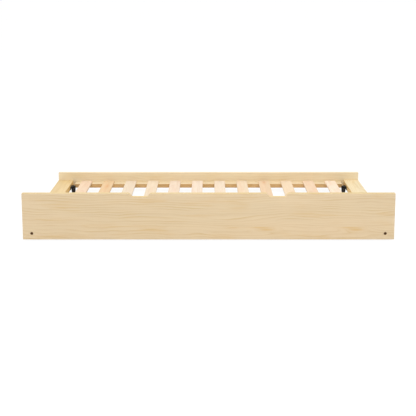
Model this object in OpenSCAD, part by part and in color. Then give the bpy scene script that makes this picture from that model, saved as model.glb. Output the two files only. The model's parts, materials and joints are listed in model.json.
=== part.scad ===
// Trundle bed: a low pine platform on four fixed casters that rolls under a
// higher bed. A tall front panel with two finger scoops and a low back rail are
// bolted to two flat end beams; ledges and a middle rail carry the slats.
// X runs along the bed, -Y is the front, Z is up. The origin is on the floor,
// under the middle of the bed.

/* [Overall] */
// Length of the bed, the length of the front panel and of the back rail
bed_l = 1955; // [1500:5:2400]
// Depth of the bed, from the front panel's face to the back rail's face
bed_d = 980; // [760:5:1250]

/* [Front panel] */
// Height of the front panel
panel_h = 250; // [180:5:320]
// Thickness of the front panel
panel_t = 21; // [18:1:30]
// Gap between the floor and the front panel's lower edge
floor_gap = 10; // [6:1:14]
// Distance between the middles of the two finger scoops
scoop_spacing = 720; // [300:2:1000]
// Width of a finger scoop where it meets the panel's top edge
scoop_w = 127; // [110:1:170]
// Width of the straight stretch at the bottom of a finger scoop
scoop_flat = 67; // [30:1:75]
// Depth of a finger scoop
scoop_depth = 20; // [12:1:26]

/* [Back rail] */
// Height of the back rail
rail_h = 96; // [75:1:130]
// Thickness of the back rail
rail_t = 21; // [18:1:30]

/* [End beams] */
// Width of an end beam, which lies flat
beam_w = 95; // [76:1:120]
// Thickness of an end beam
beam_t = 38; // [34:1:48]

/* [Slats] */
// Number of slats
slat_count = 12; // [8:1:14]
// Width of a slat
slat_w = 68; // [50:1:85]
// Thickness of a slat
slat_t = 10; // [8:1:18]
// Gap between an end beam and the nearest slat's edge
slat_end_gap = 61; // [40:1:90]
// Gap between a slat's end and the panel or rail that it points at
slat_setback = 20; // [8:1:24]

/* [Ledges and middle rail] */
// Width of a ledge, across the bed
ledge_w = 60; // [50:1:75]
// Height of a ledge
ledge_h = 26; // [22:1:32]
// Gap between a ledge's end and the end beam
ledge_end_gap = 20; // [8:1:40]
// Width of the middle rail, across the bed
middle_w = 45; // [36:1:70]
// Height of the middle rail
middle_h = 34; // [28:1:42]

/* [Bolted corners] */
// Diameter of a corner bolt's shank
bolt_d = 6; // [5:0.5:8]
// Diameter of a corner bolt's flat head
bolt_head_d = 15; // [13:0.5:18]
// Length of bolt beyond the beam's end, up to the middle of its barrel nut
nut_reach = 35; // [28:1:45]
// Diameter of a locating dowel
dowel_d = 8; // [6:1:10]
// Distance from a corner bolt to each dowel beside it
dowel_pitch = 30; // [22:1:36]

/* [Casters] */
// Diameter of a caster's wheel
wheel_d = 45; // [44:1:60]
// Width of a caster's tyre
tyre_w = 15; // [13:1:21]
// Diameter of a caster's axle
axle_d = 6; // [5:0.5:8]
// Gap between an axle's rivet head and the bracket's screw flange
wheel_gap = 1.8; // [1:0.2:12]
// Width of the bracket's screw flange, along the end beam
bracket_w = 50; // [44:1:54]
// Height of the bracket's screw flange
flange_h = 22; // [20:1:30]

/* [Hidden] */
$fn = 64;
FINE = 96;                 // facets of a wheel
CUT = 1;                   // how far a cutter runs past the face it opens

// Clearances
hole_gap = 0.1;            // radial gap around a fixed screw, bolt, dowel or nut
running_gap = 0.08;        // radial gap between an axle and its wheel's bore
side_play = 0.6;           // gap on each side between a hub and its bracket
over_wheel = 3;            // gap between a tyre and the bracket's top web
ledge_to_wheel = 6.5;      // gap between a ledge and the nearest tyre
end_play = 1;              // gap past the tip of a dowel, bolt or nut
flange_margin = 1;         // end beam left below the bracket's flange
slat_proud = 1;            // slats stand this far above the end beams
rail_drop = 8;             // the back rail reaches this far below the end beams

// Corner hardware
bolt_drop = 3;             // bolt axis below the middle of an end beam
head_t = 2.6;              // thickness of a bolt head
head_sink = 3;             // depth of the counterbore that a head sits in
head_gap = 0.5;            // radial gap around a head in its counterbore
socket_d = 4.6;            // across the corners of the hex socket
socket_depth = 1.8;
bolt_past = 8;             // bolt tip beyond the barrel nut's middle
nut_d = 10;
nut_l = 16;
dowel_l = 40;
dowel_in_board = 12;       // length of a dowel inside the panel or rail
dowel_chamfer = 1;

// Screws: shank diameter, head diameter, head height; pan heads hold the steel
SLAT_SCREW = [3.5, 7, 2.4];
LEDGE_SCREW = [4.5, 8.4, 2.8];
PAN_SCREW = [4, 7.6, 2.2];
slat_screw_l = 28;
slat_screw_inset = 20;     // from a slat's end
ledge_screw_l = 46;
ledge_screw_sink = 27;     // depth of the counterbore in a ledge
ledge_screw_every = 2;     // one screw under every second slat
ledge_screw_shift = 15;    // from that slat's middle, clear of the slat's own screw
caster_screw_l = 26;
caster_screw_pitch = 32;
bracket_screw_l = 16;
bracket_screw_pitch = 18;
screw_tip = 4;
recess_w = 1;              // cross recess in a screw head
recess_l = 4;
recess_depth = 1.4;
pan_crown = 0.7;           // a pan head's flat top, as a share of its radius

// Steel and wheels
steel_t = 2;
leg_r = 9;                 // rounded foot of a bracket's leg
leg_top_w = 28;            // width of the legs' tops and of the web between them
rivet_d = 10;
rivet_h = 1.6;
hub_boss_r = 8;
hub_web_t = 7;
rim_t = 4;
rim_side = 1;              // tyre stands this far proud of the rim on each side
tyre_t = 5;                // thickness of the tyre around the rim
tyre_edge_r = 2.4;          // under half of tyre_t, so the edge stays off the rim
angle_leg = 30;            // legs of the angle that holds the middle rail
angle_h = 28;

// Heights, built up from the floor through the wheel and its bracket
wheel_r = wheel_d / 2;
web_top = wheel_d + over_wheel + steel_t;
beam_z = web_top - flange_h - flange_margin;
beam_top = beam_z + beam_t;
deck_z = beam_top + slat_proud;
ledge_top = deck_z - slat_t;
rail_z = beam_z - rail_drop;
panel_top = floor_gap + panel_h;
bolt_z = beam_z + beam_t / 2 - bolt_drop;
ledge_screw_z = ledge_top - ledge_h / 2;

// Places across and along the bed
front_y = -bed_d / 2 + panel_t;      // inner face of the front panel
rear_y = bed_d / 2 - rail_t;         // inner face of the back rail
inner_d = rear_y - front_y;
beam_x = bed_l / 2 - beam_w / 2;
beam_face = bed_l / 2 - beam_w;      // inner face of an end beam
ledge_l = 2 * (beam_face - ledge_end_gap);
slat_l = inner_d - 2 * slat_setback;
slat_mid_y = (front_y + rear_y) / 2;
first_slat_x = -beam_face + slat_end_gap + slat_w / 2;
slat_pitch = -2 * first_slat_x / (slat_count - 1);
front_wheel_y = front_y + ledge_w + ledge_to_wheel + wheel_r;
rear_wheel_y = rear_y - ledge_w - ledge_to_wheel - wheel_r;

// A finger scoop's flank: two equal arcs that meet at half depth
flank_run = (scoop_w - scoop_flat) / 2;
flank_turn = 2 * atan(scoop_depth / flank_run);
flank_r = flank_run / (2 * sin(flank_turn));

// Wheel sections
hub_l = tyre_w + 3;
fork_gap = hub_l + 2 * side_play;
rim_r = wheel_r - tyre_t;
rim_w = tyre_w - 2 * rim_side;
axle_l = fork_gap + 2 * steel_t;
wheel_offset = axle_l / 2 + rivet_h + wheel_gap + steel_t;
wheel_x = beam_face - wheel_offset;

PINE = [0.89, 0.79, 0.63];
PALE_PINE = [0.97, 0.90, 0.80];
BEECH = [0.82, 0.66, 0.46];
BROWN_STEEL = [0.30, 0.22, 0.17];
ZINC = [0.74, 0.75, 0.76];
BLACK_STEEL = [0.10, 0.10, 0.11];
BLACK_NYLON = [0.14, 0.14, 0.15];
BLACK_RUBBER = [0.06, 0.06, 0.06];

// ---------------------------------------------------------------- placing

// Thickness of the board at the front (-1) or the rear (1)
function board_t(end) = end < 0 ? panel_t : rail_t;

// Inner face of the board at the front or the rear
function board_face(end) = end < 0 ? front_y : rear_y;

// Middle of the wheel at the front or the rear
function wheel_y(end) = end < 0 ? front_wheel_y : rear_wheel_y;

// Middle of slat number i, counted from 1 at the left
function slat_x(i) = first_slat_x + (i - 1) * slat_pitch;

// Places along a ledge of its screws, each hidden by the slat above it
function ledge_screw_xs() = [
    for (side = [-1, 1], i = [1 : ledge_screw_every : slat_count / 2])
        -side * (slat_x(i) + ledge_screw_shift)
];

// The four corners, on the outer face: +Z of the child points out of the bed
module at_corners() {
    for (side = [-1, 1], end = [-1, 1])
        translate([side * beam_x, end * bed_d / 2, bolt_z])
            rotate([-90 * end, 0, 0])
                children();
}

// The dowels beside each corner bolt, on the joint between board and beam:
// +Z of the child points out of the bed
module at_dowels() {
    for (side = [-1, 1], end = [-1, 1], step = [-1, 1])
        translate([side * beam_x + step * dowel_pitch, board_face(end), bolt_z])
            rotate([-90 * end, 0, 0])
                children();
}

// Ledge screws, on the inner face of a ledge: +Z points to the bed's middle
module at_ledge_screws(end) {
    for (x = ledge_screw_xs())
        translate([x, board_face(end) - end * ledge_w, ledge_screw_z])
            rotate([90 * end, 0, 0])
                children();
}

// Slat screws of slat i, on the slat's upper face
module at_slat_screws(i) {
    for (end = [-1, 1])
        translate([slat_x(i), slat_mid_y + end * (slat_l / 2 - slat_screw_inset), deck_z])
            children();
}

// Caster screws, on a bracket's flange: +Z points away from the end beam
module at_caster_screws(side) {
    for (end = [-1, 1], step = [-1, 1])
        translate([
            side * (beam_face - steel_t),
            wheel_y(end) + step * caster_screw_pitch / 2,
            beam_z + flange_margin + flange_h / 2 - steel_t
        ])
            rotate([0, -90 * side, 0])
                children();
}

// Screws through the angle's leg on the end beam: +Z points to the middle
module at_angle_beam_screws(side) {
    for (step = [-1, 1])
        translate([
            side * (beam_face - steel_t),
            slat_mid_y + middle_w / 2 + steel_t + (angle_leg - steel_t) / 2,
            angle_z() + step * bracket_screw_pitch / 2
        ])
            rotate([0, -90 * side, 0])
                children();
}

// Screws through the angle's leg on the middle rail: +Z points to the rear
module at_angle_rail_screws(side) {
    for (step = [-1, 1])
        translate([
            side * (beam_face - steel_t - (angle_leg - steel_t) / 2),
            slat_mid_y + middle_w / 2 + steel_t,
            angle_z() + step * bracket_screw_pitch / 2
        ])
            rotate([-90, 0, 0])
                children();
}

// Height of an angle's middle, where it lies on both the beam and the rail
function angle_z() =
    (max(beam_z, ledge_top - middle_h) + ledge_top) / 2;

// The wheel's own frame: origin at its middle, +X towards the end beam
module at_wheel(side, end) {
    translate([side * wheel_x, wheel_y(end), wheel_r])
        rotate([0, 0, side < 0 ? 180 : 0])
            children();
}

// ---------------------------------------------------------------- fasteners

// A countersunk screw, head upwards, its head's face at z = 0
module wood_screw(kind, length) {
    shank_r = kind[0] / 2;
    head_r = kind[1] / 2;
    head_h = kind[2];
    difference() {
        union() {
            translate([0, 0, -head_h])
                cylinder(h = head_h, r1 = shank_r, r2 = head_r);
            translate([0, 0, screw_tip - length])
                cylinder(h = length - screw_tip - head_h, r = shank_r);
            translate([0, 0, -length])
                cylinder(h = screw_tip, r1 = shank_r / 4, r2 = shank_r);
        }
        for (turn = [0, 90])
            rotate(turn)
                translate([-recess_l / 2, -recess_w / 2, -recess_depth])
                    cube([recess_l, recess_w, recess_depth + CUT]);
    }
}

// A pan-headed screw, its head's underside at z = 0
module pan_screw(kind, length) {
    shank_r = kind[0] / 2;
    head_r = kind[1] / 2;
    head_h = kind[2];
    rim_h = head_h / 2;
    difference() {
        union() {
            cylinder(h = rim_h, r = head_r);
            translate([0, 0, rim_h])
                cylinder(h = head_h - rim_h, r1 = head_r, r2 = head_r * pan_crown);
            translate([0, 0, screw_tip - length])
                cylinder(h = length - screw_tip, r = shank_r);
            translate([0, 0, -length])
                cylinder(h = screw_tip, r1 = shank_r / 4, r2 = shank_r);
        }
        for (turn = [0, 90])
            rotate(turn)
                translate([-recess_l / 2, -recess_w / 2, head_h - recess_depth])
                    cube([recess_l, recess_w, recess_depth + CUT]);
    }
}

// The hole under a pan head: plain, from the steel's face inwards
module pan_screw_hole(kind, length) {
    translate([0, 0, -length - end_play])
        cylinder(h = length + end_play + CUT, r = kind[0] / 2 + hole_gap);
}

// The hole for a countersunk screw whose head is flush at z = 0
module screw_hole(kind, length, above) {
    shank_r = kind[0] / 2 + hole_gap;
    head_r = kind[1] / 2 + hole_gap;
    translate([0, 0, -length - end_play])
        cylinder(h = length + end_play, r = shank_r);
    translate([0, 0, -kind[2]])
        cylinder(h = kind[2], r1 = shank_r, r2 = head_r);
    cylinder(h = above, r = head_r);
}

// A flat-headed bolt with a hex socket; z = 0 is the board's outer face
module corner_bolt(length) {
    difference() {
        union() {
            translate([0, 0, -head_sink])
                cylinder(h = head_t, d = bolt_head_d);
            translate([0, 0, -head_sink - length])
                cylinder(h = length, d = bolt_d);
        }
        translate([0, 0, head_t - head_sink - socket_depth])
            cylinder(h = socket_depth + CUT, d = socket_d, $fn = 6);
    }
}

// Length of a corner bolt under its head
function bolt_l(end) = board_t(end) - head_sink + nut_reach + bolt_past;

module bolt_hole() {
    longest = max(bolt_l(-1), bolt_l(1));
    translate([0, 0, -head_sink - longest - end_play])
        cylinder(h = longest + end_play, r = bolt_d / 2 + hole_gap);
    translate([0, 0, -head_sink])
        cylinder(h = head_sink + CUT, r = bolt_head_d / 2 + head_gap);
}

// A dowel, its z = 0 at the joint and +Z into the panel or rail
module dowel() {
    body_l = dowel_l - 2 * dowel_chamfer;
    small_r = dowel_d / 2 - dowel_chamfer;
    translate([0, 0, dowel_in_board - dowel_l]) {
        cylinder(h = dowel_chamfer, r1 = small_r, r2 = dowel_d / 2);
        translate([0, 0, dowel_chamfer])
            cylinder(h = body_l, d = dowel_d);
        translate([0, 0, dowel_chamfer + body_l])
            cylinder(h = dowel_chamfer, r1 = dowel_d / 2, r2 = small_r);
    }
}

module dowel_hole() {
    translate([0, 0, dowel_in_board - dowel_l - end_play])
        cylinder(h = dowel_l + 2 * end_play, r = dowel_d / 2 + hole_gap);
}

// Upright barrel nuts, or their holes bored from an end beam's lower face
module barrel_nut_at(side, end) {
    translate([side * beam_x, board_face(end) - end * nut_reach, 0])
        children();
}

module barrel_nut() {
    difference() {
        translate([0, 0, bolt_z - nut_l / 2])
            cylinder(h = nut_l, d = nut_d);
        translate([0, -nut_d, bolt_z])
            rotate([-90, 0, 0])
                cylinder(h = 2 * nut_d, r = bolt_d / 2 + hole_gap);
    }
}

module barrel_nut_hole() {
    translate([0, 0, beam_z - CUT])
        cylinder(
            h = bolt_z + nut_l / 2 + end_play - beam_z + CUT,
            r = nut_d / 2 + hole_gap
        );
}

// ---------------------------------------------------------------- boards

// Outline of a finger scoop, below y = 0, with S-shaped flanks
module scoop_outline() {
    inflection = scoop_w / 2 - flank_run / 2;
    difference() {
        union() {
            polygon([
                [-scoop_w / 2, CUT], [-scoop_w / 2, 0], [-inflection, -scoop_depth / 2],
                [-scoop_flat / 2, -scoop_depth], [scoop_flat / 2, -scoop_depth],
                [inflection, -scoop_depth / 2], [scoop_w / 2, 0], [scoop_w / 2, CUT]
            ]);
            for (side = [-1, 1])
                translate([side * scoop_flat / 2, flank_r - scoop_depth])
                    circle(r = flank_r);
        }
        for (side = [-1, 1])
            translate([side * scoop_w / 2, -flank_r])
                circle(r = flank_r);
    }
}

module front_panel() {
    color(PINE)
        difference() {
            translate([-bed_l / 2, -bed_d / 2, floor_gap])
                cube([bed_l, panel_t, panel_h]);
            for (side = [-1, 1])
                translate([side * scoop_spacing / 2, front_y + CUT, panel_top])
                    rotate([90, 0, 0])
                        linear_extrude(panel_t + 2 * CUT)
                            scoop_outline();
            at_corners()
                bolt_hole();
            at_dowels()
                dowel_hole();
            at_ledge_screws(-1)
                ledge_screw_hole();
        }
}

module back_rail() {
    color(PINE)
        difference() {
            translate([-bed_l / 2, rear_y, rail_z])
                cube([bed_l, rail_t, rail_h]);
            at_corners()
                bolt_hole();
            at_dowels()
                dowel_hole();
            at_ledge_screws(1)
                ledge_screw_hole();
        }
}

module end_beam(side) {
    color(PINE)
        difference() {
            translate([side * beam_x - beam_w / 2, front_y, beam_z])
                cube([beam_w, inner_d, beam_t]);
            at_corners()
                bolt_hole();
            at_dowels()
                dowel_hole();
            for (end = [-1, 1])
                barrel_nut_at(side, end)
                    barrel_nut_hole();
            at_caster_screws(side)
                pan_screw_hole(PAN_SCREW, caster_screw_l);
            at_angle_beam_screws(side)
                pan_screw_hole(PAN_SCREW, bracket_screw_l);
        }
}

// The countersunk hole for a ledge screw, sunk deep into the ledge
module ledge_screw_hole() {
    translate([0, 0, -ledge_screw_sink])
        screw_hole(LEDGE_SCREW, ledge_screw_l, ledge_screw_sink + CUT);
}

module ledge(end) {
    near_y = end < 0 ? front_y : rear_y - ledge_w;
    color(PINE)
        difference() {
            translate([-ledge_l / 2, near_y, ledge_top - ledge_h])
                cube([ledge_l, ledge_w, ledge_h]);
            at_ledge_screws(end)
                ledge_screw_hole();
            for (i = [1 : slat_count])
                at_slat_screws(i)
                    screw_hole(SLAT_SCREW, slat_screw_l, CUT);
        }
}

module middle_rail() {
    color(PINE)
        difference() {
            translate([-beam_face, slat_mid_y - middle_w / 2, ledge_top - middle_h])
                cube([2 * beam_face, middle_w, middle_h]);
            for (side = [-1, 1])
                at_angle_rail_screws(side)
                    pan_screw_hole(PAN_SCREW, bracket_screw_l);
        }
}

module slat(i) {
    color(PALE_PINE)
        if (i <= slat_count)
            difference() {
                translate([slat_x(i) - slat_w / 2, slat_mid_y - slat_l / 2, ledge_top])
                    cube([slat_w, slat_l, slat_t]);
                at_slat_screws(i)
                    screw_hole(SLAT_SCREW, slat_screw_l, CUT);
            }
}

// ---------------------------------------------------------------- hardware

module corner_bolts() {
    color(BROWN_STEEL)
        for (side = [-1, 1], end = [-1, 1])
            translate([side * beam_x, end * bed_d / 2, bolt_z])
                rotate([-90 * end, 0, 0])
                    corner_bolt(bolt_l(end));
}

module barrel_nuts() {
    color(ZINC)
        for (side = [-1, 1], end = [-1, 1])
            barrel_nut_at(side, end)
                barrel_nut();
}

module locating_dowels() {
    color(BEECH)
        at_dowels()
            dowel();
}

module ledge_screws() {
    color(ZINC)
        for (end = [-1, 1])
            at_ledge_screws(end)
                translate([0, 0, -ledge_screw_sink])
                    wood_screw(LEDGE_SCREW, ledge_screw_l);
}

module slat_screws() {
    color(ZINC)
        for (i = [1 : slat_count])
            at_slat_screws(i)
                wood_screw(SLAT_SCREW, slat_screw_l);
}

module caster_screws() {
    color(ZINC)
        for (side = [-1, 1])
            at_caster_screws(side)
                pan_screw(PAN_SCREW, caster_screw_l);
}

module angle_screws() {
    color(ZINC)
        for (side = [-1, 1]) {
            at_angle_beam_screws(side)
                pan_screw(PAN_SCREW, bracket_screw_l);
            at_angle_rail_screws(side)
                pan_screw(PAN_SCREW, bracket_screw_l);
        }
}

// The steel angle between the middle rail's rear face and an end beam
module rail_angle(side) {
    rail_face = slat_mid_y + middle_w / 2;
    leg_x = side < 0 ? -beam_face : beam_face - steel_t;
    lap_x = side < 0 ? -beam_face : beam_face - angle_leg;
    color(ZINC)
        difference() {
            translate([0, rail_face, angle_z() - angle_h / 2]) {
                translate([leg_x, 0, 0])
                    cube([steel_t, angle_leg, angle_h]);
                translate([lap_x, 0, 0])
                    cube([angle_leg, steel_t, angle_h]);
            }
            at_angle_beam_screws(side)
                pan_screw_hole(PAN_SCREW, bracket_screw_l);
            at_angle_rail_screws(side)
                pan_screw_hole(PAN_SCREW, bracket_screw_l);
        }
}

// ---------------------------------------------------------------- casters

// A leg of the bracket, in the plane of the wheel, rounded around the axle
module bracket_leg() {
    difference() {
        union() {
            circle(r = leg_r);
            polygon([
                [-leg_r, 0], [leg_r, 0],
                [leg_top_w / 2, wheel_r + over_wheel + steel_t],
                [-leg_top_w / 2, wheel_r + over_wheel + steel_t]
            ]);
        }
        circle(r = axle_d / 2 + hole_gap);
    }
}

// The bracket's web from above: as wide as the legs, flared out to the flange
module bracket_web(inner_x) {
    near = [leg_top_w / 2, bracket_w / 2];
    polygon([
        [inner_x, -near[0]], [-inner_x, -near[0]],
        [wheel_offset - steel_t, -near[1]], [wheel_offset, -near[1]],
        [wheel_offset, near[1]], [wheel_offset - steel_t, near[1]],
        [-inner_x, near[0]], [inner_x, near[0]]
    ]);
}

// Two legs under a web that bridges to the end beam and turns down on it
module caster_bracket(side, end) {
    web_z = wheel_r + over_wheel;
    inner_x = -fork_gap / 2 - steel_t;
    color(BLACK_STEEL)
        difference() {
            at_wheel(side, end) {
                for (leg_x = [inner_x, fork_gap / 2])
                    translate([leg_x, 0, 0])
                        rotate([90, 0, 90])
                            linear_extrude(steel_t)
                                bracket_leg();
                translate([0, 0, web_z])
                    linear_extrude(steel_t)
                        bracket_web(inner_x);
                translate([wheel_offset - steel_t, -bracket_w / 2, web_z + steel_t - flange_h])
                    cube([steel_t, bracket_w, flange_h]);
            }
            at_caster_screws(side)
                pan_screw_hole(PAN_SCREW, caster_screw_l);
        }
}

// The axle, riveted over on both legs
module caster_axle(side, end) {
    color(ZINC)
        at_wheel(side, end)
            rotate([0, 90, 0]) {
                cylinder(h = axle_l, d = axle_d, center = true);
                for (face = [-1, 1])
                    rotate([face < 0 ? 180 : 0, 0, 0])
                        translate([0, 0, axle_l / 2])
                            cylinder(h = rivet_h, d1 = rivet_d, d2 = rivet_d * 0.7);
            }
}

// The nylon centre: boss, thin web and rim
module caster_hub(side, end) {
    color(BLACK_NYLON)
        at_wheel(side, end)
            rotate([0, 90, 0])
                rotate_extrude($fn = FINE)
                    difference() {
                        union() {
                            translate([0, -hub_l / 2])
                                square([hub_boss_r, hub_l]);
                            translate([0, -hub_web_t / 2])
                                square([rim_r, hub_web_t]);
                            translate([rim_r - rim_t, -rim_w / 2])
                                square([rim_t, rim_w]);
                        }
                        translate([-CUT, -hub_l / 2 - CUT])
                            square([axle_d / 2 + running_gap + CUT, hub_l + 2 * CUT]);
                    }
}

// The tyre around the rim, with rounded edges on its tread
module caster_tyre(side, end) {
    edge = wheel_r - tyre_edge_r;
    color(BLACK_RUBBER)
        at_wheel(side, end)
            rotate([0, 90, 0])
                rotate_extrude($fn = FINE) {
                    translate([rim_r, -tyre_w / 2])
                        square([edge - rim_r, tyre_w]);
                    translate([rim_r, tyre_edge_r - tyre_w / 2])
                        square([tyre_t, tyre_w - 2 * tyre_edge_r]);
                    for (face = [-1, 1])
                        translate([edge, face * (tyre_w / 2 - tyre_edge_r)])
                            circle(r = tyre_edge_r);
                }
}

front_panel();
back_rail();
end_beam(-1);  // left_end_beam
end_beam(1);  // right_end_beam
ledge(-1);  // front_ledge
ledge(1);  // rear_ledge
middle_rail();
slat(1);  // slat_01
slat(2);  // slat_02
slat(3);  // slat_03
slat(4);  // slat_04
slat(5);  // slat_05
slat(6);  // slat_06
slat(7);  // slat_07
slat(8);  // slat_08
slat(9);  // slat_09
slat(10);  // slat_10
slat(11);  // slat_11
slat(12);  // slat_12
corner_bolts();
barrel_nuts();
locating_dowels();
ledge_screws();
slat_screws();
caster_screws();
rail_angle(-1);  // left_rail_angle
rail_angle(1);  // right_rail_angle
angle_screws();
caster_bracket(-1, -1);  // front_left_bracket
caster_bracket(1, -1);  // front_right_bracket
caster_bracket(-1, 1);  // rear_left_bracket
caster_bracket(1, 1);  // rear_right_bracket
caster_axle(-1, -1);  // front_left_axle
caster_axle(1, -1);  // front_right_axle
caster_axle(-1, 1);  // rear_left_axle
caster_axle(1, 1);  // rear_right_axle
caster_hub(-1, -1);  // front_left_hub
caster_hub(1, -1);  // front_right_hub
caster_hub(-1, 1);  // rear_left_hub
caster_hub(1, 1);  // rear_right_hub
caster_tyre(-1, -1);  // front_left_tyre
caster_tyre(1, -1);  // front_right_tyre
caster_tyre(-1, 1);  // rear_left_tyre
caster_tyre(1, 1);  // rear_right_tyre
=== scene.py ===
"""Trundle bed: pine boards, slats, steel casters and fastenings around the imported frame.

X runs along the bed, -Y is the front and Z is up, in metres. Every board and caster is a
surface worked out here from the frame's own boxes; the fastenings keep their frame meshes.
"""
from __future__ import annotations

import json
import logging
import math
from dataclasses import dataclass, field, replace
from enum import Enum
from functools import reduce
from typing import Optional, Sequence

import bmesh
import bpy
import numpy as np
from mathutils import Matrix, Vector
from mathutils.geometry import tessellate_polygon

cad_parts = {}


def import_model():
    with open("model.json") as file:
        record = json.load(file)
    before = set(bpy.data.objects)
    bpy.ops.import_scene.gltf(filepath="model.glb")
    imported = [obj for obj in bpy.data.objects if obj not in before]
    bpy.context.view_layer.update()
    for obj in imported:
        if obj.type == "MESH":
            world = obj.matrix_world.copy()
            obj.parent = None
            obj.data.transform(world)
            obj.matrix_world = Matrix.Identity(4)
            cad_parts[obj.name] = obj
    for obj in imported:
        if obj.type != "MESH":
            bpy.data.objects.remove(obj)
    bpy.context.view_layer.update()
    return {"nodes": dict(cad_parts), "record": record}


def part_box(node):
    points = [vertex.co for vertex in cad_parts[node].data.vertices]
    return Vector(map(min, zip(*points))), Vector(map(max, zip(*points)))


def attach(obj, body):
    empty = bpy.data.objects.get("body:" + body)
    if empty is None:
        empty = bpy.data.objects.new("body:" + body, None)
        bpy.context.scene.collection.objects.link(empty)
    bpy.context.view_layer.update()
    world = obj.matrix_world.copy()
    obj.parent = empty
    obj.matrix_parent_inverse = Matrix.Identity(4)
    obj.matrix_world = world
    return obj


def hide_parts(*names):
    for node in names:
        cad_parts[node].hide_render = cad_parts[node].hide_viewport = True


log = logging.getLogger("trundle_bed")

Array = np.ndarray
Node = bpy.types.Node
Socket = bpy.types.NodeSocket
Material = bpy.types.Material
Colour = tuple[float, float, float]
Box = tuple[Sequence[float], Sequence[float]]
Lines = list[tuple[Array, Array]]
WHITE: Colour = (1.0, 1.0, 1.0)
FRAME_BODY = "frame"
BORE_BEVEL = 0.0004


# ------------------------------------------------------------------ choices


class Side(Enum):
    """Left or right half of the bed, as the sign of X."""

    LEFT = -1
    RIGHT = 1


class End(Enum):
    """Front or rear half of the bed, as the sign of Y."""

    FRONT = -1
    REAR = 1


class Axis(Enum):
    """A direction of the bed, as its index."""

    X = 0
    Y = 1
    Z = 2

    def unit(self) -> Array:
        """The unit vector along this axis."""
        return np.eye(3)[self.value]


# ------------------------------------------------------------------ outlines


def direction(start: Array, stop: Array) -> Array:
    """The unit vector from one point to another."""
    return (stop - start) / np.linalg.norm(stop - start)


def turn_between(way: Array, after: Array) -> float:
    """The angle from one unit vector of a plane to the next, positive to the left."""
    return math.atan2(way[0] * after[1] - way[1] * after[0], float(way @ after))


def left_of(way: Array) -> Array:
    """A vector of a plane turned a quarter turn to the left."""
    return np.array([-way[1], way[0]])


@dataclass(frozen=True)
class Arc:
    """A round stretch of an outline, in degrees; hollow where the solid lies outside it."""

    centre: tuple[float, float]
    radius: float
    start: float
    stop: float
    hollow: bool = False
    steps: int = 6


@dataclass(frozen=True)
class Outline:
    """A closed anticlockwise line with an outward unit normal at each of its points."""

    points: Array
    normals: Array

    @classmethod
    def of_arcs(cls, arcs: Sequence[Arc]) -> "Outline":
        """Joins arcs by straight stretches: centre + radius * (cos a, sin a), a even in each arc.

        Args:
            arcs: the round stretches, in order round the outline.

        Returns:
            The outline, whose normals point along the radius, or against it where hollow.
        """
        points, normals = [], []
        for arc in arcs:
            a = np.radians(np.linspace(arc.start, arc.stop, arc.steps + 1))
            way = np.stack([np.cos(a), np.sin(a)], axis=1)
            points.append(np.asarray(arc.centre) + arc.radius * way)
            normals.append(-way if arc.hollow else way)
        return cls(np.concatenate(points), np.concatenate(normals))

    @classmethod
    def box(cls, low: Sequence[float], high: Sequence[float], radius: float) -> "Outline":
        """A rectangle between two corners, with fillets of one radius."""
        corners = [(low[0], low[1]), (high[0], low[1]), (high[0], high[1]), (low[0], high[1])]
        return cls.filleted([(x, y, radius) for x, y in corners])

    @classmethod
    def filleted(cls, corners: Sequence[tuple[float, float, float]], steps: int = 6) -> "Outline":
        """A polygon with a fillet in each corner, convex or hollow.

        At a corner that turns by t, the arc of radius r starts r tan(t/2) before it, and its
        centre lies r away from both edges on the side that the line turns to.

        Args:
            corners: (x, y, fillet radius) of each corner, anticlockwise.
            steps: straight pieces in each fillet.

        Returns:
            The outline.
        """
        places = np.array([c[:2] for c in corners], float)
        arcs = []
        for i, (_, _, radius) in enumerate(corners):
            before = direction(places[i - 1], places[i])
            turn = turn_between(before, direction(places[i], places[(i + 1) % len(places)]))
            hand = math.copysign(1.0, turn)
            start_point = places[i] - before * radius * math.tan(abs(turn) / 2)
            centre = start_point + hand * radius * left_of(before)
            start = math.degrees(math.atan2(*(start_point - centre)[::-1]))
            arcs.append(Arc(
                tuple(centre), radius, start, start + math.degrees(turn), turn < 0, steps
            ))
        return cls.of_arcs(arcs)


# ------------------------------------------------------------------ meshes


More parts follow.
